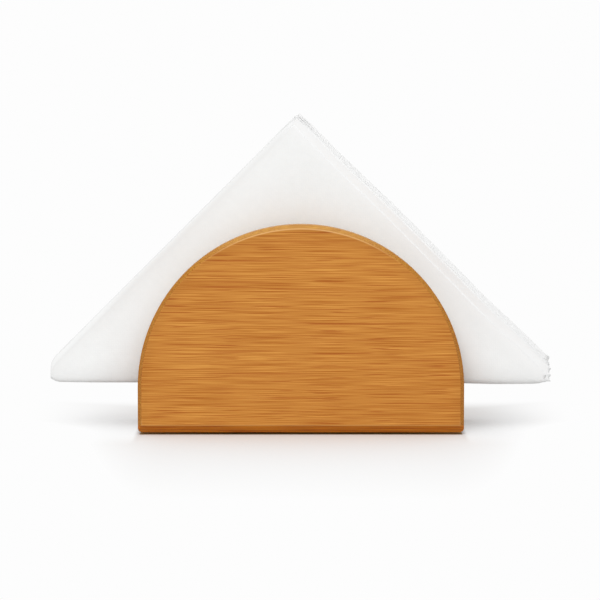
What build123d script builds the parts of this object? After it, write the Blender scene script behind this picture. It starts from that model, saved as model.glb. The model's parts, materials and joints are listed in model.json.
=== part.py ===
from build123d import *
import os

os.makedirs("parts", exist_ok=True)

# Half-round napkin holder in bamboo, with a shallow drawer in its base and folded napkins in its slot.
# Millimetres. X runs along the panels, Y from the front panel to the rear one, Z up from the table.

# Panels
panel_radius = 70.0
panel_straight = 19.5  # straight sides below the half round
panel_thickness = 10.0
panel_bevel = 1.7
panel_toe_bevel = 3.4  # the wider bevel along the bottom
panel_arris_radius = 0.4  # where a bevel meets a face
panel_corner_radius = 2.0
slot_depth = 36.0  # between the two panels
foot_gap = 0.8  # the panels stay this far above the table

# Base between the panels
base_recess = 12.0  # the base ends this far inside the panels' ends
housing_depth = 3.0  # how far the boards enter the panels
groove_margin = 0.4  # flat left between the panel's lower bevel and the lower groove
bottom_thickness = 2.0
bay_height = 10.0
shelf_thickness = 4.0
board_edge_break = 0.5
end_block_length = 12.0
dowel_diameter = 5.0
dowel_in_panel = 6.0
dowel_in_block = 12.0
stop_pin_diameter = 4.0
stop_pin_reach = 3.0  # how far it hangs below the shelf
stop_pin_setback = 12.0  # from the base's open end to its axis
foot_diameter = 9.0
foot_setback = 12.0  # from the base's ends to a foot's axis
foot_side_gap = 2.5  # between a foot and the panel beside it

# Drawer
drawer_side_gap = 0.4
drawer_top_gap = 0.4
drawer_floor_gap = 0.2
drawer_rear_gap = 0.5
drawer_front_thickness = 8.0
drawer_front_lip = 4.0  # full-width part of the front, ahead of the walls
drawer_front_break = 0.8
drawer_wall = 3.0
drawer_bottom_thickness = 1.5
drawer_rabbet = 1.5  # how far the bottom enters the walls and the front
brad_diameter = 1.0
brad_length = 8.0
brad_spacing = 4.0
screw_diameter = 2.5
screw_clearance = 0.1
screw_head_diameter = 5.0
screw_head_height = 1.25
screw_in_knob = 5.5
knob_length = 9.5
knob_diameter = 8.0
knob_foot_diameter = 5.8
knob_neck_diameter = 4.4
knob_neck_share = 0.3
knob_rim_share = 0.68

# Napkins, each folded in four and then across the diagonal
napkin_count = 10
napkin_side = 166.0  # side of the square once folded in four
napkin_thickness = 2.3
napkin_leaf = 0.4  # one side of the last fold
napkin_clearance = 0.3
napkin_step = 0.2  # each one lies this far to the right of the one in front
tip_cut = 8.0  # the crumpled end stops this far short of a sharp corner
tip_lean = 3.0
tip_round = 4.0
apex_round = 2.0

# Heights
arch_start = foot_gap + panel_straight
bottom_low = foot_gap + panel_toe_bevel + groove_margin
bay_low = bottom_low + bottom_thickness
bay_high = bay_low + bay_height
shelf_top = bay_high + shelf_thickness
drawer_low = bay_low + drawer_floor_gap
drawer_high = bay_high - drawer_top_gap
drawer_floor = drawer_low + drawer_bottom_thickness
napkin_low = shelf_top + napkin_clearance

# Depths and lengths
inner_face = slot_depth / 2
outer_face = inner_face + panel_thickness
board_half = inner_face + housing_depth
base_end = panel_radius - base_recess
block_face = end_block_length - base_end
drawer_half = inner_face - drawer_side_gap
drawer_inside = drawer_half - drawer_wall
drawer_rear = block_face + drawer_rear_gap
drawer_back_face = drawer_rear + drawer_wall
front_rear_face = base_end - drawer_front_thickness
front_lip_face = base_end - drawer_front_lip
block_middle = block_face - end_block_length / 2
dowel_height = (bay_low + bay_high) / 2
stop_pin_x = base_end - stop_pin_setback
knob_height = (drawer_low + drawer_high) / 2

# Brads: two at each corner of the drawer, at the middle of the front's tenon and of the back
brad_columns = [(front_rear_face + front_lip_face) / 2, (drawer_rear + drawer_back_face) / 2]
brad_middle = (drawer_floor + drawer_high) / 2
brad_heights = [brad_middle - brad_spacing / 2, brad_middle + brad_spacing / 2]
brad_spots = [(x, z) for x in brad_columns for z in brad_heights]
brad_in_end = brad_length - drawer_wall

# Front panel: half round on short straight sides, edges bevelled, grooved for the two boards
with BuildPart() as front_panel:
    with BuildSketch(Plane.XZ.offset(outer_face)) as outline:
        with BuildLine():
            Line((panel_radius, arch_start), (panel_radius, foot_gap))
            Line((panel_radius, foot_gap), (-panel_radius, foot_gap))
            Line((-panel_radius, foot_gap), (-panel_radius, arch_start))
            CenterArc((0, arch_start), panel_radius, 0, 180)
        make_face()
        fillet(outline.vertices().group_by(Axis.Y)[0], panel_corner_radius)
    extrude(amount=-panel_thickness)
    chamfer(front_panel.faces().filter_by(Axis.Y).edges(), panel_bevel)
    with BuildSketch(Plane.YZ.offset(-panel_radius)):
        with BuildLine():
            Polyline(
                (-outer_face, foot_gap),
                (panel_toe_bevel - outer_face, foot_gap),
                (-outer_face, foot_gap + panel_toe_bevel),
                close=True,
            )
        make_face()
        with BuildLine():
            Polyline(
                (-inner_face, foot_gap),
                (-inner_face - panel_toe_bevel, foot_gap),
                (-inner_face, foot_gap + panel_toe_bevel),
                close=True,
            )
        make_face()
    extrude(amount=2 * panel_radius, mode=Mode.SUBTRACT)
    fillet(front_panel.faces().filter_by(Axis.Y).edges(), panel_arris_radius)
    with BuildSketch(Plane.XZ.offset(inner_face)):
        with Locations((0, (bottom_low + bay_low) / 2)):
            Rectangle(2 * base_end, bottom_thickness)
        with Locations((0, (bay_high + shelf_top) / 2)):
            Rectangle(2 * base_end, shelf_thickness)
    extrude(amount=housing_depth, mode=Mode.SUBTRACT)
    with BuildSketch(Plane.XZ.offset(inner_face)):
        with Locations((block_middle, dowel_height)):
            Circle(dowel_diameter / 2)
    extrude(amount=dowel_in_panel, mode=Mode.SUBTRACT)
front_panel.part.label = "front_panel"
export_step(front_panel.part, "parts/front_panel.step")

# Rear panel: the front one's mirror image
with BuildPart() as rear_panel:
    mirror(front_panel.part, about=Plane.XZ)
rear_panel.part.label = "rear_panel"
export_step(rear_panel.part, "parts/rear_panel.step")

# Shelf that the napkins stand on, let into both panels
with BuildPart() as napkin_shelf:
    with BuildSketch(Plane.XY.offset(bay_high)):
        Rectangle(2 * base_end, 2 * board_half)
    extrude(amount=shelf_thickness)
    chamfer(napkin_shelf.edges().filter_by(Axis.Y), board_edge_break)
    with BuildSketch(Plane.XY.offset(bay_high)):
        with Locations((stop_pin_x, 0)):
            Circle(stop_pin_diameter / 2)
    extrude(amount=shelf_thickness, mode=Mode.SUBTRACT)
napkin_shelf.part.label = "napkin_shelf"
export_step(napkin_shelf.part, "parts/napkin_shelf.step")

# Bottom board that the drawer runs on, let into both panels
with BuildPart() as bottom_board:
    with BuildSketch(Plane.XY.offset(bottom_low)):
        Rectangle(2 * base_end, 2 * board_half)
    extrude(amount=bottom_thickness)
    chamfer(bottom_board.edges().filter_by(Axis.Y), board_edge_break)
bottom_board.part.label = "bottom_board"
export_step(bottom_board.part, "parts/bottom_board.step")

# Block that closes the drawer space at the left end
with BuildPart() as end_block:
    with BuildSketch(Plane.XY.offset(bay_low)):
        with Locations((block_middle, 0)):
            Rectangle(end_block_length, slot_depth)
    extrude(amount=bay_height)
    with BuildSketch(Plane.XZ.offset(inner_face)):
        with Locations((block_middle, dowel_height)):
            Circle(dowel_diameter / 2)
    extrude(amount=-dowel_in_block, mode=Mode.SUBTRACT)
    with BuildSketch(Plane.XZ.offset(-inner_face)):
        with Locations((block_middle, dowel_height)):
            Circle(dowel_diameter / 2)
    extrude(amount=dowel_in_block, mode=Mode.SUBTRACT)
end_block.part.label = "end_block"
export_step(end_block.part, "parts/end_block.step")

# Dowels from the block into each panel
with BuildPart() as end_block_dowels:
    with BuildSketch(Plane.XZ.offset(inner_face - dowel_in_block)):
        with Locations((block_middle, dowel_height)):
            Circle(dowel_diameter / 2)
    extrude(amount=dowel_in_block + dowel_in_panel)
    mirror(about=Plane.XZ)
end_block_dowels.part.label = "end_block_dowels"
export_step(end_block_dowels.part, "parts/end_block_dowels.step")

# Stop pin through the shelf: the drawer's back meets it when the drawer is fully out
with BuildPart() as drawer_stop_pin:
    with BuildSketch(Plane.XY.offset(shelf_top)):
        with Locations((stop_pin_x, 0)):
            Circle(stop_pin_diameter / 2)
    extrude(amount=-(shelf_thickness + stop_pin_reach))
    chamfer(drawer_stop_pin.edges().group_by(Axis.Z)[0], board_edge_break)
drawer_stop_pin.part.label = "drawer_stop_pin"
export_step(drawer_stop_pin.part, "parts/drawer_stop_pin.step")

# Four soft feet under the bottom board
with BuildPart() as foot_pads:
    foot_x = base_end - foot_setback
    foot_y = inner_face - foot_side_gap - foot_diameter / 2
    with BuildSketch(Plane.XY):
        with GridLocations(2 * foot_x, 2 * foot_y, 2, 2):
            Circle(foot_diameter / 2)
    extrude(amount=bottom_low)
    fillet(foot_pads.edges().group_by(Axis.Z)[0], board_edge_break)
foot_pads.part.label = "foot_pads"
export_step(foot_pads.part, "parts/foot_pads.step")

# Drawer front: full width ahead of the walls, a tenon between them, a rabbet for the bottom
with BuildPart() as drawer_front:
    with BuildSketch(Plane.XY.offset(drawer_low)):
        with Locations(((front_lip_face + base_end) / 2, 0)):
            Rectangle(drawer_front_lip, 2 * drawer_half)
        with Locations(((front_rear_face + base_end) / 2, 0)):
            Rectangle(drawer_front_thickness, 2 * drawer_inside)
    extrude(amount=drawer_high - drawer_low)
    chamfer(drawer_front.faces().sort_by(Axis.X)[-1].edges(), drawer_front_break)
    with BuildSketch(Plane.XZ.offset(drawer_inside)):
        with Locations((front_rear_face + drawer_rabbet / 2, drawer_low + drawer_bottom_thickness / 2)):
            Rectangle(drawer_rabbet, drawer_bottom_thickness)
    extrude(amount=-2 * drawer_inside, mode=Mode.SUBTRACT)
    with BuildSketch(Plane.YZ.offset(front_rear_face)):
        with Locations((0, knob_height)):
            Circle(screw_diameter / 2 + screw_clearance)
    extrude(amount=drawer_front_thickness, mode=Mode.SUBTRACT)
    with BuildSketch(Plane.YZ.offset(front_rear_face)):
        with Locations((0, knob_height)):
            Circle(screw_head_diameter / 2 + screw_clearance)
    with BuildSketch(Plane.YZ.offset(front_rear_face + screw_head_height)):
        with Locations((0, knob_height)):
            Circle(screw_diameter / 2 + screw_clearance)
    loft(mode=Mode.SUBTRACT)
    with BuildSketch(Plane.XZ.offset(drawer_inside)):
        with Locations(*[(x, z) for x, z in brad_spots if x > 0]):
            Circle(brad_diameter / 2)
    extrude(amount=-brad_in_end, mode=Mode.SUBTRACT)
    with BuildSketch(Plane.XZ.offset(-drawer_inside)):
        with Locations(*[(x, z) for x, z in brad_spots if x > 0]):
            Circle(brad_diameter / 2)
    extrude(amount=brad_in_end, mode=Mode.SUBTRACT)
drawer_front.part.label = "drawer_front"
export_step(drawer_front.part, "parts/drawer_front.step")

# Drawer wall on the front panel's side, with a rabbet for the bottom
with BuildPart() as drawer_wall_near:
    with BuildSketch(Plane.XZ.offset(drawer_half)):
        with Locations(((drawer_rear + front_lip_face) / 2, (drawer_low + drawer_high) / 2)):
            Rectangle(front_lip_face - drawer_rear, drawer_high - drawer_low)
    extrude(amount=-drawer_wall)
    with BuildSketch(Plane.XZ.offset(drawer_inside)):
        with Locations(((drawer_rear + front_lip_face) / 2, drawer_low + drawer_bottom_thickness / 2)):
            Rectangle(front_lip_face - drawer_rear, drawer_bottom_thickness)
    extrude(amount=drawer_rabbet, mode=Mode.SUBTRACT)
    chamfer(drawer_wall_near.edges().filter_by(Axis.X).group_by(Axis.Z)[-1], board_edge_break)
    with BuildSketch(Plane.XZ.offset(drawer_half)):
        with Locations(*brad_spots):
            Circle(brad_diameter / 2)
    extrude(amount=-drawer_wall, mode=Mode.SUBTRACT)
drawer_wall_near.part.label = "drawer_wall_near"
export_step(drawer_wall_near.part, "parts/drawer_wall_near.step")

# Drawer wall on the rear panel's side
with BuildPart() as drawer_wall_far:
    mirror(drawer_wall_near.part, about=Plane.XZ)
drawer_wall_far.part.label = "drawer_wall_far"
export_step(drawer_wall_far.part, "parts/drawer_wall_far.step")

# Drawer back: stands on the bottom between the walls
with BuildPart() as drawer_back:
    with BuildSketch(Plane.XY.offset(drawer_floor)):
        with Locations(((drawer_rear + drawer_back_face) / 2, 0)):
            Rectangle(drawer_wall, 2 * drawer_inside)
    extrude(amount=drawer_high - drawer_floor)
    with BuildSketch(Plane.XZ.offset(drawer_inside)):
        with Locations(*[(x, z) for x, z in brad_spots if x < 0]):
            Circle(brad_diameter / 2)
    extrude(amount=-brad_in_end, mode=Mode.SUBTRACT)
    with BuildSketch(Plane.XZ.offset(-drawer_inside)):
        with Locations(*[(x, z) for x, z in brad_spots if x < 0]):
            Circle(brad_diameter / 2)
    extrude(amount=brad_in_end, mode=Mode.SUBTRACT)
drawer_back.part.label = "drawer_back"
export_step(drawer_back.part, "parts/drawer_back.step")

# Drawer bottom: thin board in the rabbets, running under the back
with BuildPart() as drawer_bottom:
    with BuildSketch(Plane.XY.offset(drawer_low)):
        with Locations(((drawer_rear + front_rear_face + drawer_rabbet) / 2, 0)):
            Rectangle(front_rear_face + drawer_rabbet - drawer_rear, 2 * (drawer_inside + drawer_rabbet))
    extrude(amount=drawer_bottom_thickness)
drawer_bottom.part.label = "drawer_bottom"
export_step(drawer_bottom.part, "parts/drawer_bottom.step")

# Brads through the walls into the front and the back
with BuildPart() as drawer_brads:
    with BuildSketch(Plane.XZ.offset(drawer_half)):
        with Locations(*brad_spots):
            Circle(brad_diameter / 2)
    extrude(amount=-brad_length)
    mirror(about=Plane.XZ)
drawer_brads.part.label = "drawer_brads"
export_step(drawer_brads.part, "parts/drawer_brads.step")

# Turned knob, held by a screw from inside the drawer
with BuildPart() as drawer_knob:
    with BuildSketch(Plane.XY.offset(knob_height)):
        with BuildLine():
            neck_x = base_end + knob_neck_share * knob_length
            rim_x = base_end + knob_rim_share * knob_length
            knob_tip = base_end + knob_length
            Line((base_end, 0), (base_end, knob_foot_diameter / 2))
            Spline(
                (base_end, knob_foot_diameter / 2),
                (neck_x, knob_neck_diameter / 2),
                (rim_x, knob_diameter / 2),
                tangents=[(1, -1), (1, 0)],
            )
            Spline((rim_x, knob_diameter / 2), (knob_tip, 0), tangents=[(1, 0), (0, -1)])
            Line((knob_tip, 0), (base_end, 0))
        make_face()
    revolve(axis=Axis((base_end, 0, knob_height), (1, 0, 0)))
    with BuildSketch(Plane.YZ.offset(base_end)):
        with Locations((0, knob_height)):
            Circle(screw_diameter / 2)
    extrude(amount=screw_in_knob, mode=Mode.SUBTRACT)
drawer_knob.part.label = "drawer_knob"
export_step(drawer_knob.part, "parts/drawer_knob.step")

# Countersunk screw through the drawer front into the knob
with BuildPart() as knob_screw:
    with BuildSketch(Plane.YZ.offset(front_rear_face)):
        with Locations((0, knob_height)):
            Circle(screw_diameter / 2)
    extrude(amount=drawer_front_thickness + screw_in_knob)
    with BuildSketch(Plane.YZ.offset(front_rear_face)):
        with Locations((0, knob_height)):
            Circle(screw_head_diameter / 2)
    with BuildSketch(Plane.YZ.offset(front_rear_face + screw_head_height)):
        with Locations((0, knob_height)):
            Circle(screw_diameter / 2)
    loft()
knob_screw.part.label = "knob_screw"
export_step(knob_screw.part, "parts/knob_screw.step")

# Napkins: two leaves joined by the fold that stands on the shelf, cut to a triangle with blunt ends
napkin_height = napkin_side / 2**0.5
napkin_half = napkin_height - tip_cut
napkin_apex = napkin_low + napkin_height
napkin_pitch = napkin_thickness + napkin_clearance
napkin_gap = napkin_thickness - 2 * napkin_leaf
fold_middle = napkin_low + napkin_thickness / 2
for number in range(napkin_count):
    napkin_y = (number - (napkin_count - 1) / 2) * napkin_pitch
    napkin_x = (number - (napkin_count - 1) / 2) * napkin_step
    with BuildPart() as napkin:
        with BuildSketch(Plane.YZ.offset(napkin_x - napkin_half)):
            with Locations((napkin_y, fold_middle)):
                Circle(napkin_thickness / 2)
                Circle(napkin_gap / 2, mode=Mode.SUBTRACT)
            with Locations((napkin_y, (fold_middle + napkin_apex) / 2)):
                Rectangle(napkin_thickness, napkin_apex - fold_middle)
                Rectangle(napkin_gap, napkin_apex - fold_middle, mode=Mode.SUBTRACT)
        extrude(amount=2 * napkin_half)
        with BuildSketch(Plane.XZ.offset(inner_face)) as triangle:
            with BuildLine():
                Polyline(
                    (napkin_x - napkin_half, napkin_low),
                    (napkin_x + napkin_half, napkin_low),
                    (napkin_x + napkin_half - tip_lean, napkin_low + tip_cut + tip_lean),
                    (napkin_x, napkin_apex),
                    (napkin_x - napkin_half + tip_lean, napkin_low + tip_cut + tip_lean),
                    close=True,
                )
            make_face()
            fillet(triangle.vertices().group_by(Axis.Y)[0], tip_round)
            fillet(triangle.vertices().sort_by(Axis.Y)[-1], apex_round)
        extrude(amount=-slot_depth, mode=Mode.INTERSECT)
    napkin.part.label = f"napkin_{number + 1:02d}"
    export_step(napkin.part, f"parts/napkin_{number + 1:02d}.step")
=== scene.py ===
import json
import math

import bpy
import numpy as np
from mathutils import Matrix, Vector

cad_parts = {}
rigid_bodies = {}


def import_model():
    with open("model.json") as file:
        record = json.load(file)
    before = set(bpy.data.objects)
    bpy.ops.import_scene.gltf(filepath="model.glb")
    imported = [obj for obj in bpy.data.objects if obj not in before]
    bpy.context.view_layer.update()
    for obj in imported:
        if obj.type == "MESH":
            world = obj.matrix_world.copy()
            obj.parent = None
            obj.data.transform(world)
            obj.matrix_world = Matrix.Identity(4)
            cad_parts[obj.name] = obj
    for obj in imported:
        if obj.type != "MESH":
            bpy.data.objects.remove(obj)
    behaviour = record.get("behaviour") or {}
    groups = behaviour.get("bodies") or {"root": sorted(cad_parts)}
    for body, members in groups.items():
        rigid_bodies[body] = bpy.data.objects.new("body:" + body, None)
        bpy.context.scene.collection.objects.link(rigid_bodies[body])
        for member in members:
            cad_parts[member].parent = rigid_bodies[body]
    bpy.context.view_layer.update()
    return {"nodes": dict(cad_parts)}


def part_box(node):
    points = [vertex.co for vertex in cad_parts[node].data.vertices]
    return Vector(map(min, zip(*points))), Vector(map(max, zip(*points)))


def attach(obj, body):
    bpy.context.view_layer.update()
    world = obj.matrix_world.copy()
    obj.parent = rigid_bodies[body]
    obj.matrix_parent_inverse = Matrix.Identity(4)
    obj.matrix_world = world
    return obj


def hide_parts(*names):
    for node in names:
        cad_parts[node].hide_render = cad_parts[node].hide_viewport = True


# half-round bamboo napkin holder with a drawer in its base, metres, front panel towards -Y
for leftover in list(bpy.data.objects):
    bpy.data.objects.remove(leftover)
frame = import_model()
nodes = frame["nodes"]
print("frame loaded:", len(nodes), "nodes")


# small helpers for node trees

def feed(tree, node, inputs):
    for name, value in inputs.items():
        if isinstance(value, bpy.types.NodeSocket):
            tree.links.new(value, node.inputs[name])
        else:
            node.inputs[name].default_value = value
    return node


def place(tree, kind, inputs=None, **settings):
    node = tree.nodes.new(kind)
    for name, value in settings.items():
        setattr(node, name, value)
    return feed(tree, node, inputs or {})


def calc(tree, operation, *terms, clamp=False):
    node = place(tree, "ShaderNodeMath", dict(enumerate(terms)), operation=operation, use_clamp=clamp)
    return node.outputs[0]


def vecCalc(tree, operation, *terms):
    node = place(tree, "ShaderNodeVectorMath", dict(enumerate(terms)), operation=operation)
    return node.outputs["Value" if operation in ("LENGTH", "DOT_PRODUCT") else "Vector"]


def split(tree, vector):
    return place(tree, "ShaderNodeSeparateXYZ", {0: vector}).outputs


def remap(tree, value, low, high, toLow=0.0, toHigh=1.0, smooth=True):
    node = place(tree, "ShaderNodeMapRange", {0: value, 1: low, 2: high, 3: toLow, 4: toHigh},
                 interpolation_type="SMOOTHSTEP" if smooth else "LINEAR")
    return node.outputs[0]


def blendColour(tree, factor, first, second, how="MIX"):
    node = place(tree, "ShaderNodeMix", {0: factor, 6: first, 7: second}, data_type="RGBA", blend_type=how)
    return node.outputs[2]


def stain(tree, mask, colour, shade):
    # the colour times a shade, where the mask is
    return blendColour(tree, mask, colour, blendColour(tree, 1.0, colour, shade, "MULTIPLY"))


def blendValue(tree, factor, first, second):
    return place(tree, "ShaderNodeMix", {0: factor, 2: first, 3: second}, data_type="FLOAT").outputs[0]


def noise(tree, vector, scale, detail=2.0, roughness=0.5):
    return place(tree, "ShaderNodeTexNoise", {
        "Vector": vector, "Scale": scale, "Detail": detail, "Roughness": roughness}).outputs["Fac"]


def addRelief(tree, shader, height, strength, distance):
    bump = place(tree, "ShaderNodeBump", {"Strength": strength, "Distance": distance, "Height": height})
    tree.links.new(bump.outputs[0], shader.inputs["Normal"])


def newGroup(name, inputs, outputs):
    group = bpy.data.node_groups.new(name, "ShaderNodeTree")
    for socketName, kind, value in inputs:
        socket = group.interface.new_socket(socketName, in_out="INPUT", socket_type=kind)
        if value is not None:
            socket.default_value = value
    for socketName, kind in outputs:
        group.interface.new_socket(socketName, in_out="OUTPUT", socket_type=kind)
    return group, group.nodes.new("NodeGroupInput").outputs, group.nodes.new("NodeGroupOutput").inputs


def useGroup(tree, group, inputs):
    node = tree.nodes.new("ShaderNodeGroup")
    node.node_tree = group
    return feed(tree, node, inputs).outputs


def newMaterial(name):
    material = bpy.data.materials.new(name)
    material.use_nodes = True
    tree = material.node_tree
    return material, tree, tree.nodes["Principled BSDF"]


def linear(red, green, blue):
    # the usual screen curve undone, channel by channel
    level = np.array([red, green, blue]) / 255
    straight = np.where(level <= 0.04045, level / 12.92, ((level + 0.055) / 1.055) ** 2.4)
    return (*straight.tolist(), 1.0)


colourSocket, numberSocket, vectorSocket = "NodeSocketColor", "NodeSocketFloat", "NodeSocketVector"

# each noise of the grain has a stretch along and across the fibre, and a shift that keeps it apart
# from the others
grainForm = {
    "line": ((0.9, 1.9, 1.9), (3.1, 7.7, 1.3)), "hair": ((0.35, 0.8, 0.8), (0.0, 2.0, 5.0)),
    "band": ((0.25, 0.05, 0.05), (5.0, 61.0, 33.0)), "pore": ((1.1, 1.5, 1.5), (17.0, 4.2, 9.1)),
    "vessel": ((0.45, 1.2, 1.2), (2.0, 14.2, 3.1)),
    "poreLimits": (0.09, 0.18), "vesselLimits": (0.17, 0.23),
    "lines": 2.5, "pores": 0.9, "bands": 0.35, "hairShare": 0.25,
    "poreRough": 0.08, "hairRough": 0.16, "poreHeight": -0.6, "lineHeight": 0.5, "hairHeight": 0.5,
}


# fibres: noise stretched along X gives level lines between a dark and a light tone, wider hairs and slow
# bands shift that balance, and the strongest of two more noises become deep short pores and a few long
# vessels
def makeWoodGrain():
    group, src, out = newGroup(
        "woodGrain",
        [("Vector", vectorSocket, None), ("Dark", colourSocket, None), ("Light", colourSocket, None),
         ("Pore", colourSocket, None), ("Along", numberSocket, None), ("Across", numberSocket, None),
         ("Lines", numberSocket, grainForm["lines"]), ("Pores", numberSocket, grainForm["pores"]),
         ("Bands", numberSocket, grainForm["bands"]), ("Roughness", numberSocket, None)],
        [("Color", colourSocket), ("Roughness", numberSocket), ("Height", numberSocket)])
    stretch = place(group, "ShaderNodeCombineXYZ",
                    {0: src["Along"], 1: src["Across"], 2: src["Across"]}).outputs[0]
    fibre = vecCalc(group, "MULTIPLY", src["Vector"], stretch)

    def layer(name):
        # one noise on the stretched place, centred on 0
        moved = vecCalc(group, "MULTIPLY_ADD", fibre, *grainForm[name])
        return calc(group, "SUBTRACT", noise(group, moved, 1.0, 1.0), 0.5)

    line, hair, band = layer("line"), layer("hair"), layer("band")
    pore = remap(group, layer("pore"), *grainForm["poreLimits"])
    vessel = remap(group, layer("vessel"), *grainForm["vesselLimits"])
    pore = calc(group, "MAXIMUM", pore, vessel)
    balance = calc(group, "MULTIPLY_ADD", hair, grainForm["hairShare"], line)
    balance = calc(group, "MULTIPLY_ADD", balance, src["Lines"], 0.5)
    balance = calc(group, "MULTIPLY_ADD", band, src["Bands"], balance, clamp=True)
    fibres = blendColour(group, balance, src["Dark"], src["Light"])
    poreShare = calc(group, "MULTIPLY", pore, src["Pores"])
    group.links.new(blendColour(group, poreShare, fibres, src["Pore"]), out["Color"])
    rough = calc(group, "MULTIPLY_ADD", pore, grainForm["poreRough"], src["Roughness"])
    rough = calc(group, "MULTIPLY_ADD", hair, grainForm["hairRough"], rough, clamp=True)
    group.links.new(rough, out["Roughness"])
    height = calc(group, "MULTIPLY", line, grainForm["lineHeight"])
    height = calc(group, "MULTIPLY_ADD", pore, grainForm["poreHeight"], height)
    height = calc(group, "MULTIPLY_ADD", hair, grainForm["hairHeight"], height)
    group.links.new(height, out["Height"])
    return group


edgeWear = {"width": 0.0012, "grit": 900.0, "ragged": 0.0016}


# wear on a board's edges: the middle one of the three distances to the sides of its box, small at an edge
def makeBoxWear():
    group, src, out = newGroup(
        "boxWear",
        [("Vector", vectorSocket, None), ("Low", vectorSocket, None), ("High", vectorSocket, None),
         ("Width", numberSocket, edgeWear["width"])],
        [("Mask", numberSocket)])
    inward = vecCalc(group, "MINIMUM", vecCalc(group, "SUBTRACT", src["Vector"], src["Low"]),
                     vecCalc(group, "SUBTRACT", src["High"], src["Vector"]))
    part = split(group, inward)
    least = calc(group, "MINIMUM", part[0], part[1])
    most = calc(group, "MAXIMUM", part[0], part[1])
    middle = calc(group, "MAXIMUM", least, calc(group, "MINIMUM", most, part[2]))
    grit = calc(group, "SUBTRACT", noise(group, src["Vector"], edgeWear["grit"]), 0.5)
    ragged = calc(group, "MULTIPLY_ADD", grit, edgeWear["ragged"], middle)
    group.links.new(remap(group, ragged, src["Width"], 0.0), out["Mask"])
    return group


# the panels' outline, the heights and insets between which the painted highlight, the lighter foot line and
# the painted shade come and go, and how far they go
panelForm = {
    "radius": 0.07, "archStart": 0.0203, "bevel": 0.0017, "toeTop": 0.0042, "arrisLine": 0.0005,
    "footFade": (0.0012, 0.0017), "sideFade": (0.0036, 0.0044), "faded": 0.01,
    "topHighlight": (0.072, 0.088, 0.0, 0.8), "footLine": (0.008, 0.004, 0.0, 0.28),
    "bevelHighlight": (0.0018, 0.0012), "bevelHighlightShare": 0.32, "brink": 0.0003, "inside": (0.8, 0.95),
}


# mask along a panel's arrises, for the painted highlight at the top of the arch and the lighter line at the
# foot:
# distance in from the half-round outline, or up from its foot, close to the bevel's width; neither line runs
# on over the other's bevel
def makeArrisMask():
    group, src, out = newGroup(
        "arrisMask",
        [("Vector", vectorSocket, None), ("Radius", numberSocket, panelForm["radius"]),
         ("Start", numberSocket, panelForm["archStart"]), ("Bevel", numberSocket, panelForm["bevel"]),
         ("Foot", numberSocket, panelForm["toeTop"]), ("Width", numberSocket, panelForm["arrisLine"])],
        [("Mask", numberSocket), ("Inset", numberSocket)])
    part = split(group, src["Vector"])
    rise = calc(group, "MAXIMUM", calc(group, "SUBTRACT", part[2], src["Start"]), 0.0)
    flatPoint = place(group, "ShaderNodeCombineXYZ", {0: part[0], 1: 0.0, 2: rise}).outputs[0]
    inset = calc(group, "SUBTRACT", src["Radius"], vecCalc(group, "LENGTH", flatPoint))
    sideGap = calc(group, "ABSOLUTE", calc(group, "SUBTRACT", inset, src["Bevel"]))
    footGap = calc(group, "ABSOLUTE", calc(group, "SUBTRACT", part[2], src["Foot"]))
    faded = panelForm["faded"]
    footGap = calc(group, "ADD", footGap, remap(group, inset, *panelForm["footFade"], faded, 0.0))
    sideGap = calc(group, "ADD", sideGap, remap(group, part[2], *panelForm["sideFade"], faded, 0.0))
    nearest = calc(group, "MINIMUM", sideGap, footGap)
    group.links.new(remap(group, nearest, src["Width"], 0.0), out["Mask"])
    group.links.new(inset, out["Inset"])
    return group


woodGrain = makeWoodGrain()
boxWear = makeBoxWear()
arrisMask = makeArrisMask()

# the wear colour marks worn board edges, and on the panels it is also the painted highlight at the top of the
# arch and the lighter line at the foot; the multipliers for the bevels and the foot band are painted shade
bamboo = {
    "dark": linear(175, 102, 25), "light": linear(219, 153, 69), "pore": linear(166, 85, 18),
    "wear": linear(224, 176, 112), "wearShare": 0.5,
    "along": 40.0, "across": 2100.0, "roughness": 0.45, "specular": 0.22,
    "footShade": (1.03, 0.83, 0.25, 1.0), "bevel": (0.91, 1.0, 0.64, 1.0),
    "border": (0.94, 0.93, 0.9, 1.0), "borderWidth": 0.007, "raw": linear(223, 202, 166), "rawShare": 0.7,
}
drawerWood = {
    "dark": linear(206, 163, 108), "light": linear(236, 207, 160), "pore": linear(186, 138, 84),
    "wear": linear(238, 214, 172), "wearShare": 0.35,
    "along": 22.0, "across": 700.0, "roughness": 0.58, "specular": 0.3,
}
dowelWood = {
    "dark": linear(197, 150, 98), "light": linear(228, 192, 142), "pore": linear(172, 120, 72),
    "wear": linear(232, 202, 158), "wearShare": 0.3,
    "along": 60.0, "across": 1200.0, "roughness": 0.55, "specular": 0.3,
}
woodFinish = {"endGrain": 0.55, "bump": 0.12, "bumpDepth": 0.0004}

# which way the fibres of a piece run, and the turn that lays the grain's X along them
alongX = {"way": (1.0, 0.0, 0.0), "turn": (0.0, 0.0, 0.0)}
alongY = {"way": (0.0, 1.0, 0.0), "turn": (0.0, 0.0, math.pi / 2)}
alongZ = {"way": (0.0, 0.0, 1.0), "turn": (0.0, math.pi / 2, 0.0)}


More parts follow.
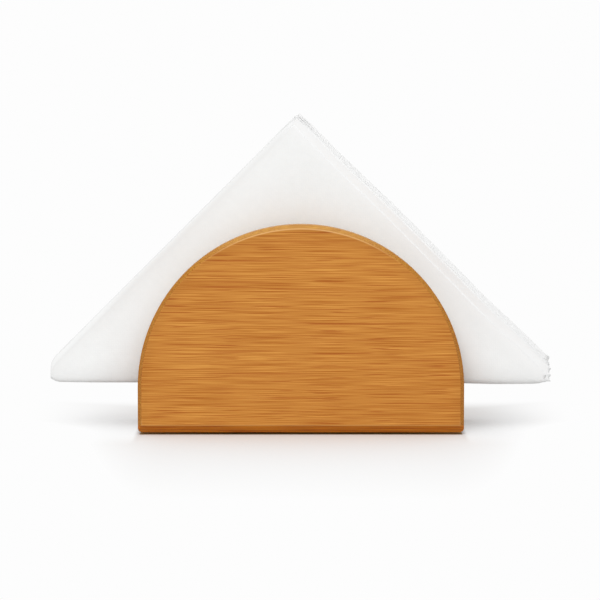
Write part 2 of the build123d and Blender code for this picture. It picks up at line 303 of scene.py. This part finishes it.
def woodMaterial(name, wood, wearAndHighlightMaker=None, run=alongX, tint=None):
    material, tree, shader = newMaterial(name)
    coord = place(tree, "ShaderNodeTexCoord").outputs
    turned = place(tree, "ShaderNodeMapping", {"Vector": coord["Object"], "Rotation": run["turn"]}).outputs[0]
    grain = useGroup(tree, woodGrain, {
        "Vector": turned, "Dark": wood["dark"], "Light": wood["light"], "Pore": wood["pore"],
        "Along": wood["along"], "Across": wood["across"], "Roughness": wood["roughness"]})
    # ends drink more finish and go darker: the grain direction's share of the surface normal, squared
    facing = calc(tree, "ABSOLUTE", vecCalc(tree, "DOT_PRODUCT", coord["Normal"], run["way"]))
    endShare = calc(tree, "MULTIPLY", calc(tree, "POWER", facing, 2.0), woodFinish["endGrain"])
    colour = stain(tree, endShare, grain["Color"], wood["dark"])
    if tint is not None:
        colour = tint(tree, coord, colour)
    # worn edges on the boards, and on the panels the painted highlight and the lighter line at the foot
    if wearAndHighlightMaker is not None:
        colour = blendColour(tree, wearAndHighlightMaker(tree, coord["Object"]), colour, wood["wear"])
    tree.links.new(colour, shader.inputs["Base Color"])
    tree.links.new(grain["Roughness"], shader.inputs["Roughness"])
    shader.inputs["Specular IOR Level"].default_value = wood["specular"]
    addRelief(tree, shader, grain["Height"], woodFinish["bump"], woodFinish["bumpDepth"])
    return material


def panelHighlightAndFootLine(tree, vector):
    # painted highlight: a light line along the arrises at the top of the arch, where light from above catches
    # them, and a fainter painted highlight over the bevel at the top; along the arris at the foot, a lighter
    # line
    marks = useGroup(tree, arrisMask, {"Vector": vector})
    height = split(tree, vector)[2]
    topHighlight = remap(tree, height, *panelForm["topHighlight"])
    footLine = remap(tree, height, *panelForm["footLine"])
    line = calc(tree, "MULTIPLY", marks["Mask"], calc(tree, "MAXIMUM", topHighlight, footLine))
    topBevelLight = calc(tree, "MULTIPLY", topHighlight, panelForm["bevelHighlightShare"])
    bevelHighlight = calc(tree, "MULTIPLY", remap(tree, marks["Inset"], *panelForm["bevelHighlight"]), topBevelLight)
    return calc(tree, "MAXIMUM", line, bevelHighlight)


def panelTint(inward):
    # the face goes a little darker towards the outline, painted shade makes the bevels and the band along the
    # foot darker and more orange, and the face that looks into the slot is left raw: everything below the
    # toe's upper edge, within the bevel of the outline, or facing the given way
    def tint(tree, coord, colour):
        toeTop, bevel, brink = panelForm["toeTop"], panelForm["bevel"], panelForm["brink"]
        height = split(tree, coord["Object"])[2]
        inset = useGroup(tree, arrisMask, {"Vector": coord["Object"]})["Inset"]
        below = remap(tree, height, toeTop, toeTop - brink)
        outer = calc(tree, "MULTIPLY", remap(tree, inset, bevel, bevel - brink),
                     calc(tree, "SUBTRACT", 1.0, below))
        border = remap(tree, inset, bamboo["borderWidth"], bevel)
        # painted shade on the bevels and the foot band; the border only darkens the face towards the outline
        for mask, shade in ((border, "border"), (outer, "bevel"), (below, "footShade")):
            colour = stain(tree, mask, colour, bamboo[shade])
        facing = vecCalc(tree, "DOT_PRODUCT", coord["Normal"], inward)
        inside = remap(tree, facing, *panelForm["inside"], 0.0, bamboo["rawShare"])
        return blendColour(tree, inside, colour, bamboo["raw"])
    return tint


def boxWearOf(node, wood):
    low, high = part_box(node)

    def wear(tree, vector):
        marks = useGroup(tree, boxWear, {"Vector": vector, "Low": tuple(low), "High": tuple(high)})
        return calc(tree, "MULTIPLY", marks["Mask"], wood["wearShare"])
    return wear


def dress(node, material):
    for slotHolder in nodes[node].material_slots:
        slotHolder.material = material


for node, inward in (("front_panel", (0.0, 1.0, 0.0)), ("rear_panel", (0.0, -1.0, 0.0))):
    dress(node, woodMaterial(node + "Bamboo", bamboo, panelHighlightAndFootLine, tint=panelTint(inward)))
dress("drawer_knob", woodMaterial("knobBamboo", bamboo))
for node, name, wood, run in (
        ("napkin_shelf", "napkin_shelfBamboo", bamboo, alongX),
        ("bottom_board", "bottom_boardBamboo", bamboo, alongX),
        ("end_block", "end_blockBamboo", bamboo, alongX),
        ("drawer_front", "drawer_frontBamboo", bamboo, alongX),
        ("drawer_wall_near", "drawer_wall_nearWood", drawerWood, alongX),
        ("drawer_wall_far", "drawer_wall_farWood", drawerWood, alongX),
        ("drawer_bottom", "drawer_bottomWood", drawerWood, alongX),
        ("drawer_back", "drawer_backWood", drawerWood, alongY),
        ("end_block_dowels", "dowelWood", dowelWood, alongY),
        ("drawer_stop_pin", "stopPinWood", dowelWood, alongZ)):
    dress(node, woodMaterial(name, wood, boxWearOf(node, wood), run))
print("wood dressed")


# steel brads and screw, rubber feet

steel = {
    "colour": (0.56, 0.55, 0.53, 1.0), "dull": (0.36, 0.34, 0.32, 1.0), "roughness": 0.22,
    "lineStretch": (900.0, 900.0, 5200.0), "lineDetail": 3.0, "lineRough": 0.22,
    "tarnishScale": 420.0, "tarnishDetail": 3.0, "tarnishLimits": (0.5, 0.75), "tarnishRough": 0.15,
    "bump": 0.08, "bumpDepth": 0.0002,
}
rubber = {
    "colour": (0.022, 0.021, 0.02, 1.0), "dusty": (0.085, 0.08, 0.074, 1.0), "roughness": 0.62,
    "pebbleScale": 2600.0, "pebbleDetail": 3.0, "pebbleRough": 0.2,
    "dustScale": 240.0, "dustDetail": 4.0, "dustLimits": (0.48, 0.8),
    "bump": 0.25, "bumpDepth": 0.0002,
}


# steel: fine drawn lines, and dull tarnish where a slow noise is high
def steelMaterial():
    material, tree, shader = newMaterial("brightSteel")
    vector = place(tree, "ShaderNodeTexCoord").outputs["Object"]
    lines = noise(tree, vecCalc(tree, "MULTIPLY", vector, steel["lineStretch"]), 1.0, steel["lineDetail"])
    spots = noise(tree, vector, steel["tarnishScale"], steel["tarnishDetail"])
    tarnish = remap(tree, spots, *steel["tarnishLimits"])
    tree.links.new(blendColour(tree, tarnish, steel["colour"], steel["dull"]), shader.inputs["Base Color"])
    shader.inputs["Metallic"].default_value = 1.0
    rough = calc(tree, "MULTIPLY_ADD", tarnish, steel["tarnishRough"], steel["roughness"])
    rough = calc(tree, "MULTIPLY_ADD", lines, steel["lineRough"], rough)
    tree.links.new(rough, shader.inputs["Roughness"])
    addRelief(tree, shader, lines, steel["bump"], steel["bumpDepth"])
    return material


# rubber: a fine pebbled skin, and dust where a slow noise is high
def rubberMaterial():
    material, tree, shader = newMaterial("footRubber")
    vector = place(tree, "ShaderNodeTexCoord").outputs["Object"]
    pebble = noise(tree, vector, rubber["pebbleScale"], rubber["pebbleDetail"])
    dust = remap(tree, noise(tree, vector, rubber["dustScale"], rubber["dustDetail"]), *rubber["dustLimits"])
    tree.links.new(blendColour(tree, dust, rubber["colour"], rubber["dusty"]), shader.inputs["Base Color"])
    rough = calc(tree, "MULTIPLY_ADD", pebble, rubber["pebbleRough"], rubber["roughness"])
    tree.links.new(rough, shader.inputs["Roughness"])
    addRelief(tree, shader, pebble, rubber["bump"], rubber["bumpDepth"])
    return material


for node in ("drawer_brads", "knob_screw"):
    dress(node, steelMaterial())
dress("foot_pads", rubberMaterial())
print("steel and rubber dressed")


# napkins: one sheet each, folded three times

paper = {
    "tone": (0.852, 0.858, 0.852, 1.0), "shade": (0.838, 0.844, 0.838, 1.0),
    "roughness": 0.88, "specular": 0.2, "sheen": 0.12,
    "pinPitch": 0.0011, "pinHeight": 0.06,
    "pulp": {"scale": 260.0, "detail": 4.0, "roughness": 0.6}, "pulpLimits": (0.35, 0.7), "pulpHeight": 0.9,
    "fibreStretch": (1500.0, 5200.0, 1.0), "fibreRough": 0.1, "fibreHeight": 0.35,
    "bump": 0.22, "bumpDepth": 0.0003, "edgeWidth": 0.007,
    # the front napkin and the stacked ones are lit and shaded copies of one tissue: both paint light on the
    # cut edges and shade at the folds, the stacked ones more of both
    "front": {
        "edgeLight": (0.885, 0.888, 0.886, 1.0), "foldShade": (0.826, 0.83, 0.826, 1.0), "foldShadeWidth": 0.0014},
    "stacked": {
        "edgeLight": (0.928, 0.928, 0.925, 1.0), "foldShade": (0.74, 0.745, 0.745, 1.0), "foldShadeWidth": 0.003},
}
# a span is where an effect starts and where it is full; curl is that of the left tip and of the right one
napkin = {
    "count": 10, "seed": 40, "half": 0.1625, "inner": 0.000142, "sheet": 0.00024,
    "cut": 0.0078, "tooth": 0.0013, "toothPitch": 0.0031,
    "offCentre": 0.0006, "firstOff": (-0.0017, 0.0005), "shift": -0.0009, "leanDegrees": 0.1,
    "pressFold": 0.5, "pressWidth": 0.013, "thin": 0.2, "thinWidth": 0.022,
    "leftEnd": 0.1071, "leftSpread": 0.0003, "blunt": 0.0012, "apexSoft": 0.0005,
    "flare": 0.0014, "flareSpan": (0.078, 0.1), "pinch": 0.0013, "pinchSpan": (0.07, 0.1),
    "puff": 0.0024, "puffRise": 0.0105, "puffSpan": (0.0715, 0.085), "puffFade": 0.05,
    "belly": 0.0027, "bellyWidth": 0.03, "bellyFadeSpan": (0.03, 0.068),
    "curl": (0.0022, 0.0007), "curlSpan": (0.1025, 0.1075), "curlHigh": 0.007,
    "droop": 0.00045, "droopSpan": (0.064, 0.088),
}
# rows of points along a quarter's diagonal as first, last and number, and how they gather beside a fold line
sheetGrid = {
    "centreRows": (0.0, 0.004, 5), "nearRows": (0.005, 0.026, 22),
    "middleFrom": 0.03, "farFrom": 0.026, "rows": 16,
    "cluster": np.array([0.0, 0.28, 0.56, 0.85, 1.15, 1.5, 1.9, 2.4, 3.0, 3.7, 4.7, 6.0, 8.0, 11.0]) * 1e-3,
    "clusterRoom": 2.4, "between": 5, "weld": 2e-8,
}


def paperMaterial(where):
    material, tree, shader = newMaterial(where + "Tissue")
    look = paper[where]
    flat = place(tree, "ShaderNodeUVMap", uv_map="flatSheet").outputs[0]
    # pin embossing: cosine lattice on the flat sheet; pulp: soft noise with fine fibres
    part = split(tree, flat)
    turns = 2 * math.pi / paper["pinPitch"]
    across = calc(tree, "COSINE", calc(tree, "MULTIPLY", part[0], turns))
    along = calc(tree, "COSINE", calc(tree, "MULTIPLY", part[1], turns))
    pins = calc(tree, "MULTIPLY", across, along)
    pulp = noise(tree, flat, **paper["pulp"])
    fibre = noise(tree, vecCalc(tree, "MULTIPLY", flat, paper["fibreStretch"]), 1.0)
    cloud = remap(tree, pulp, *paper["pulpLimits"])
    # painted light: the cut edges are made lighter, standing in for light through the thin tissue that lifts
    # the
    # shade between the plies: near the larger of the two distances from the middle, or near the cut corners
    sideways, upright = calc(tree, "ABSOLUTE", part[0]), calc(tree, "ABSOLUTE", part[1])
    margin = paper["edgeWidth"]
    litRim = remap(tree, calc(tree, "MAXIMUM", sideways, upright), napkin["half"] - margin, napkin["half"])
    corner = 2 * napkin["half"] - napkin["cut"] * math.sqrt(2)
    litCutRim = remap(tree, calc(tree, "ADD", sideways, upright), corner - margin, corner)
    litRim = calc(tree, "MAXIMUM", litRim, litCutRim)
    # painted shade at the first two folds, where either distance is next to nothing
    foldShade = remap(tree, calc(tree, "MINIMUM", sideways, upright), look["foldShadeWidth"], 0.0)
    body = blendColour(tree, cloud, paper["shade"], paper["tone"])
    body = blendColour(tree, foldShade, body, look["foldShade"])
    tree.links.new(blendColour(tree, litRim, body, look["edgeLight"]), shader.inputs["Base Color"])
    rough = calc(tree, "MULTIPLY_ADD", fibre, paper["fibreRough"], paper["roughness"])
    tree.links.new(rough, shader.inputs["Roughness"])
    shader.inputs["Specular IOR Level"].default_value = paper["specular"]
    shader.inputs["Sheen Weight"].default_value = paper["sheen"]
    height = calc(tree, "MULTIPLY", fibre, paper["fibreHeight"])
    height = calc(tree, "MULTIPLY_ADD", pulp, paper["pulpHeight"], height)
    height = calc(tree, "MULTIPLY_ADD", pins, paper["pinHeight"], height)
    addRelief(tree, shader, height, paper["bump"], paper["bumpDepth"])
    return material


# flat sheet: four quarters, each a grid of distance p along its diagonal and distance q across it,
# with rows of points gathered near the fold lines q = 0 and q = +-m, where m is the smaller of p and what is
# left of the diagonal; the corners end in a toothed cut, and the folds lie a little off the middle
def flatSheet(chance, off):
    diagonal = napkin["half"] * math.sqrt(2)
    near = np.concatenate([np.linspace(*sheetGrid["centreRows"]), np.linspace(*sheetGrid["nearRows"])])
    middle = np.linspace(sheetGrid["middleFrom"], diagonal / 2, sheetGrid["rows"])
    far = np.linspace(sheetGrid["farFrom"], napkin["cut"], sheetGrid["rows"])
    p = np.concatenate([near, middle, diagonal - middle[-2::-1], diagonal - far])
    m = np.minimum(p, diagonal - p)
    close = sheetGrid["cluster"]
    shrink = np.minimum(1, m / (sheetGrid["clusterRoom"] * close[-1]))
    inside = np.outer(shrink, close)
    share = np.linspace(0, 1, sheetGrid["between"] + 2)[1:-1]
    bridge = inside[:, -1:] + np.outer(m - 2 * inside[:, -1], share)
    half = np.concatenate([inside, bridge, m[:, None] - inside[:, ::-1]], axis=1)
    q = np.concatenate([-half[:, :0:-1], half], axis=1)
    phase = chance.random(4)[:, None] + q[-1] / napkin["toothPitch"]
    along = np.repeat(np.broadcast_to(p[:, None], q.shape)[None], 4, axis=0)
    along[:, -1] += napkin["tooth"] * (np.abs(phase % 1 - 0.5) * 2 - 0.5)
    u = (along + q) / math.sqrt(2)
    v = (along - q) / math.sqrt(2)
    turnU, turnV = np.array([1, -1, -1, 1])[:, None, None], np.array([1, 1, -1, -1])[:, None, None]
    wide = 1 + np.array(off) / napkin["half"] * np.stack([turnU, turnV], axis=-1)
    points = (np.stack([turnU * u, turnV * v], axis=-1) * wide).reshape(-1, 2)
    grid = np.arange(u.size).reshape(u.shape)
    quads = np.stack([grid[:, 1:-1, :-1], grid[:, 2:, :-1], grid[:, 2:, 1:], grid[:, 1:-1, 1:]], axis=-1)
    first = np.stack([grid[:, 0, :-1], grid[:, 1, :-1], grid[:, 1, 1:]], axis=-1)
    quads[1::2] = quads[1::2, ..., ::-1]
    first[1::2] = first[1::2, ..., ::-1]
    # points of two quarters that meet become one
    cells = np.round(points / sheetGrid["weld"]).astype(np.int64)
    _, keep, join = np.unique(cells, axis=0, return_index=True, return_inverse=True)
    join = join.reshape(-1)
    return points[keep], join[quads.reshape(-1, 4)], join[first.reshape(-1, 3)]


# one fold: beyond the line, the stack turns half a cylinder about an axis just above it and lies back on top
def foldOver(points, normal, stack, inner):
    along = points[:, :2] @ normal
    axis = stack + inner
    radius = axis - points[:, 2]
    turn = np.clip(along / radius, 0, math.pi)
    beyond = np.maximum(along - math.pi * radius, 0)
    folded = np.where(along > 0, radius * np.sin(turn) - beyond, along)
    height = np.where(along > 0, axis - radius * np.cos(turn), points[:, 2])
    moved = points[:, :2] + np.outer(folded - along, normal)
    return np.column_stack([moved, height]), 2 * stack + 2 * inner


def softLimit(value, limit, soft):
    # the smaller of value and limit, rounded where they meet
    return -soft * np.logaddexp(-value / soft, -limit / soft)


def easeIn(value):
    value = np.clip(value, 0, 1)
    return value * value * (3 - 2 * value)


def ramp(value, start, full):
    return easeIn((value - start) / (full - start))


# folded napkin: three folds of the sheet, then turned so that the last fold lies level along X and the
# other folds run up the left leg; that leg is pressed thin, and the whole stack thins close to both legs.
# The napkin leans a little, its left tip is crushed blunt, its right tip flares out, the open leg is pinched
# in near the apex, and the apex is rounded. The first and the last napkin swell towards their panels, the
# outermost ply the most: low down on the wings, where no panel holds it, and over the middle, away from the
# legs and fading upwards. The lower corners curl up, and the right wing droops
def foldedNapkin(flat, number, chance):
    low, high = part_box(f"napkin_{number + 1:02d}")
    points, stack = np.column_stack([flat, np.zeros(len(flat))]), 0.0
    root = math.sqrt(0.5)
    for normal in ((-1.0, 0.0), (0.0, -1.0), (root, -root)):
        points, stack = foldOver(points, np.array(normal), stack, napkin["inner"])
    reach = napkin["half"] * root
    x = (points[:, 0] + points[:, 1]) * root - reach
    rise = (points[:, 1] - points[:, 0]) * root
    ply = points[:, 2] / stack
    fromFold = (x + reach - rise) * root
    fromOpen = (reach - x - rise) * root
    fromLeg = np.minimum(fromFold, fromOpen)
    pressed = napkin["pressFold"]
    depth = stack / 2 - points[:, 2]
    depth = depth * (pressed + (1 - pressed) * easeIn(fromFold / napkin["pressWidth"]))
    inward = easeIn(fromLeg / napkin["thinWidth"])

    lean = math.radians(chance.normal(0, napkin["leanDegrees"]))
    x, rise = x * math.cos(lean) - rise * math.sin(lean), rise * math.cos(lean) + x * math.sin(lean)
    leftEnd = napkin["leftEnd"] + chance.normal(0, napkin["leftSpread"])
    x = np.where(x < 0, -softLimit(-x, leftEnd, napkin["blunt"]), x)
    openShare = np.clip(0.5 + 0.5 * x / np.maximum(reach - rise, napkin["apexSoft"]), 0, 1)
    flare = napkin["flare"] * ramp(x, *napkin["flareSpan"])
    pinch = napkin["pinch"] * ramp(rise, *napkin["pinchSpan"])
    x = x + flare - pinch * openShare
    rise = softLimit(rise, reach, napkin["apexSoft"])

    bottom = stack / 2
    lift = np.clip((rise + bottom) / napkin["puffRise"], 0, 1)
    rounded = np.sqrt(1 - (1 - lift) ** 2)
    free = ramp(np.abs(x), *napkin["puffSpan"])
    puff = napkin["puff"] * free * rounded * np.exp(-np.maximum(rise, 0) / napkin["puffFade"])
    belly = napkin["belly"] * rounded * easeIn(fromLeg / napkin["bellyWidth"])
    belly = belly * (1 - ramp(rise, *napkin["bellyFadeSpan"]))
    swell = np.hypot(puff, belly)
    if number == 0:
        depth = depth - swell * ply
    if number == napkin["count"] - 1:
        depth = depth + swell * (1 - ply)

    curlFrom, curlFull = napkin["curlSpan"]
    tip = np.clip((np.abs(x) - curlFrom) / (curlFull - curlFrom), 0, 1)
    lowShare = 1 - np.clip((rise + bottom) / napkin["curlHigh"], 0, 1)
    rise = rise + np.where(x < 0, *napkin["curl"]) * tip ** 2 * lowShare
    rise = rise - napkin["droop"] * ramp(x, *napkin["droopSpan"])
    middle = (low + high) / 2
    depth = (depth + middle.y) * (1 - napkin["thin"] * (1 - inward))
    return np.column_stack([x + middle.x + napkin["shift"], depth, rise + bottom + low.z])


def sheetObject(name, points, quads, triangles, flat, material):
    mesh = bpy.data.meshes.new(name)
    mesh.from_pydata(points.tolist(), [], quads.tolist() + triangles.tolist())
    corners = np.zeros(len(mesh.loops), np.int32)
    mesh.loops.foreach_get("vertex_index", corners)
    layer = mesh.uv_layers.new(name="flatSheet")
    layer.data.foreach_set("uv", flat[corners].astype(np.float32).ravel())
    mesh.polygons.foreach_set("use_smooth", np.ones(len(mesh.polygons), bool))
    mesh.materials.append(material)
    mesh.update()
    piece = bpy.data.objects.new(name, mesh)
    bpy.context.scene.collection.objects.link(piece)
    wall = piece.modifiers.new("tissue", "SOLIDIFY")
    wall.thickness = napkin["sheet"]
    wall.offset = 0.0
    return piece


frontTissue, stackedTissue = paperMaterial("front"), paperMaterial("stacked")
for number in range(napkin["count"]):
    node = f"napkin_{number + 1:02d}"
    chance = np.random.default_rng(napkin["seed"] + number)
    off = napkin["firstOff"] if number == 0 else chance.normal(0, napkin["offCentre"], 2)
    flat, quads, triangles = flatSheet(chance, off)
    folded = foldedNapkin(flat, number, chance)
    tissue = frontTissue if number == 0 else stackedTissue
    piece = sheetObject(f"folded_{node}", folded, quads, triangles, flat, tissue)
    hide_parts(node)
    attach(piece, "napkins")
print("napkins folded:", napkin["count"], "sheets of", len(flat), "points")


# floor, light and camera

# pairs are where bare white starts and where it is full; left, right and foreground add its share at both
# ends
stage = {
    "size": 30.0, "tone": (0.81, 0.81, 0.81, 1.0), "bounce": (0.66, 0.66, 0.66, 1.0),
    "white": (0.982, 0.982, 0.982, 1.0), "under": (0.34, 0.26, 0.13, 1.0),
    "underPanel": (0.0694, 0.022, 0.0038), "underEdge": 0.0004,
    "brink": (0.0696, 0.072), "softBrink": (0.055, 0.1), "soften": 0.06,
    "front": (0.028, 0.2), "rear": (0.05, 0.095), "seam": 0.01,
    "left": (0.07, 0.125, 0.38, 1.0), "right": (0.07, 0.125, 0.13, 1.0),
    "foreground": (0.026, -0.022, 0.0, 0.45),
}
light = {
    "ambient": 0.88, "sky": (1.0, 1.0, 1.0, 1.0), "aim": (0.0, 0.0, 0.06),
    "power": 113.0, "size": 3.8, "spot": (-0.9, -4.27, 3.84),
}
camera = {
    "elevation": 5.0, "distance": 1.2, "aim": (-0.0004, -0.028, 0.05821), "span": 0.25617,
    "sensor": 36.0, "clip": (0.05, 60.0),
}


def straightRay(tree, seen):
    # rays that come from the camera, a reflection or a clear piece
    mirrored = calc(tree, "MAXIMUM", seen["Is Glossy Ray"], seen["Is Transmission Ray"])
    return calc(tree, "MAXIMUM", seen["Is Camera Ray"], mirrored)


def makeFloor():
    # one square sheet at table height
    reach = stage["size"] / 2
    corner = np.array([[-1, -1, 0], [1, -1, 0], [1, 1, 0], [-1, 1, 0]]) * [reach, reach, 1]
    mesh = bpy.data.meshes.new("tableTop")
    mesh.from_pydata(corner.tolist(), [], [[0, 1, 2, 3]])
    floor = bpy.data.objects.new("tableTop", mesh)
    bpy.context.scene.collection.objects.link(floor)
    material, tree, shader = newMaterial("whiteTable")
    tree.nodes.remove(shader)
    part = split(tree, place(tree, "ShaderNodeTexCoord").outputs["Object"])
    side = calc(tree, "ABSOLUTE", part[0])
    # shade thins out to bare white: in front of the panel, behind the wings, and to either side
    ahead = remap(tree, calc(tree, "MULTIPLY", part[1], -1.0), *stage["front"], smooth=False)
    rear = remap(tree, part[1], *stage["rear"])
    leftStart, leftGone, *leftShares = stage["left"]
    leftSide = remap(tree, part[0], -leftStart, -leftGone, *leftShares)
    rightSide = remap(tree, part[0], *stage["right"])
    inFront = remap(tree, part[1], -stage["front"][0], -stage["soften"])
    sharp, soft = remap(tree, side, *stage["brink"]), remap(tree, side, *stage["softBrink"])
    brink = blendValue(tree, inFront, sharp, soft)
    rightward = remap(tree, part[0], -stage["seam"], stage["seam"])
    wing = calc(tree, "ADD", blendValue(tree, rightward, leftSide, rightSide),
                remap(tree, part[1], *stage["foreground"]))
    wing = calc(tree, "MULTIPLY", brink, wing)
    bare = calc(tree, "MAXIMUM", rear, calc(tree, "ADD", wing, ahead), clamp=True)
    seen = place(tree, "ShaderNodeLightPath").outputs
    # contact shade below the two panels: half their length, then how far each lies from the middle and its
    # half width
    halfLength, panelPlace, halfWidth = stage["underPanel"]
    across = calc(tree, "SUBTRACT", calc(tree, "ABSOLUTE", part[1]), panelPlace)
    across = calc(tree, "SUBTRACT", calc(tree, "ABSOLUTE", across), halfWidth)
    deep = calc(tree, "MAXIMUM", calc(tree, "SUBTRACT", side, halfLength), across)
    covered = remap(tree, deep, stage["underEdge"], -stage["underEdge"])
    table = blendColour(tree, covered, stage["tone"], stage["under"])
    shown = blendColour(tree, seen["Is Camera Ray"], stage["bounce"], table)
    lit = place(tree, "ShaderNodeBsdfDiffuse", {"Color": shown}).outputs[0]
    plain = place(tree, "ShaderNodeEmission", {"Color": stage["white"], "Strength": 1.0}).outputs[0]
    share = calc(tree, "MULTIPLY", bare, straightRay(tree, seen))
    mixed = place(tree, "ShaderNodeMixShader", {0: share, 1: lit, 2: plain}).outputs[0]
    tree.links.new(mixed, tree.nodes["Material Output"].inputs["Surface"])
    mesh.materials.append(material)


def makeWorld():
    world = bpy.data.worlds.new("studio")
    world.use_nodes = True
    tree = world.node_tree
    soft = feed(tree, tree.nodes["Background"], {"Color": light["sky"], "Strength": light["ambient"]})
    white = place(tree, "ShaderNodeBackground", {"Color": stage["white"], "Strength": 1.0})
    direct = straightRay(tree, place(tree, "ShaderNodeLightPath").outputs)
    mixed = place(tree, "ShaderNodeMixShader", {0: direct, 1: soft.outputs[0], 2: white.outputs[0]})
    tree.links.new(mixed.outputs[0], tree.nodes["World Output"].inputs["Surface"])
    bpy.context.scene.world = world


def hang(name, thing, spot, target):
    holder = bpy.data.objects.new(name, thing)
    bpy.context.scene.collection.objects.link(holder)
    holder.location = spot
    holder.rotation_euler = (Vector(target) - Vector(spot)).to_track_quat("-Z", "Y").to_euler()
    return holder


def makeLamp():
    softbox = bpy.data.lights.new("keySoftbox", "AREA")
    softbox.energy = light["power"]
    softbox.shape = "DISK"
    softbox.size = light["size"]
    hang("keySoftbox", softbox, light["spot"], light["aim"])


def makeCamera():
    lens = bpy.data.cameras.new("camera")
    tilt = math.radians(camera["elevation"])
    aim = np.array(camera["aim"])
    spot = aim + camera["distance"] * np.array([0, -math.cos(tilt), math.sin(tilt)])
    lens.sensor_width = camera["sensor"]
    lens.lens = lens.sensor_width * camera["distance"] / camera["span"]
    lens.clip_start, lens.clip_end = camera["clip"]
    bpy.context.scene.camera = hang("camera", lens, tuple(spot), tuple(aim))


makeFloor()
makeWorld()
makeLamp()
makeCamera()
bpy.context.scene.view_settings.view_transform = "Standard"
print("stage, light and camera set")
